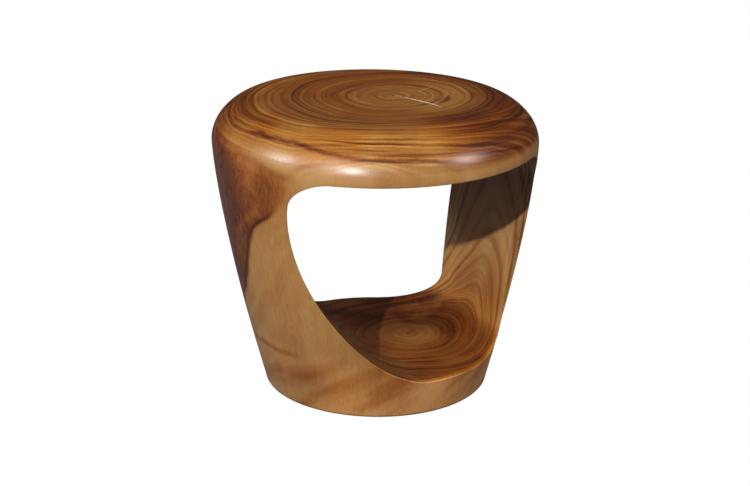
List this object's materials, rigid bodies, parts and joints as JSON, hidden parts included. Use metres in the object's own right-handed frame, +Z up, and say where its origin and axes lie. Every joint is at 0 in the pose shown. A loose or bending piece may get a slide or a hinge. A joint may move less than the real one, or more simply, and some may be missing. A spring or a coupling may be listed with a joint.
{
  "type": "stump stool",
  "caption": "Stump stool carved from a solid block of wood, tapering to its base, with a wide opening through its middle, a rolled seat edge and felt glides.",
  "frame": {"origin": "on the floor, under the middle of the stool's outline", "axes": "+Z up; the opening runs along Y, with the pictured front at -Y; +X to the right as seen from the front"},
  "size_m": [0.4804, 0.504, 0.45],
  "materials": {
    "wood": "satin lacquer over golden-brown tropical hardwood with dark growth rings",
    "crack_fill": "pale wood filler, sanded flush",
    "glide_cup": "moulded, matt",
    "felt": "pressed wool felt",
    "nail": "bright zinc"
  },
  "bodies": {
    "root": {"stump_body": "wood", "seat_crack_fill": "crack_fill", "seat_hairline_fill": "crack_fill", "glide_cup_front_left": "glide_cup", "glide_cup_front_right": "glide_cup", "glide_cup_rear_left": "glide_cup", "glide_cup_rear_right": "glide_cup", "glide_felt_front_left": "felt", "glide_felt_front_right": "felt", "glide_felt_rear_left": "felt", "glide_felt_rear_right": "felt", "glide_nail_front_left": "nail", "glide_nail_front_right": "nail", "glide_nail_rear_left": "nail", "glide_nail_rear_right": "nail"}
  },
  "joints": []
}
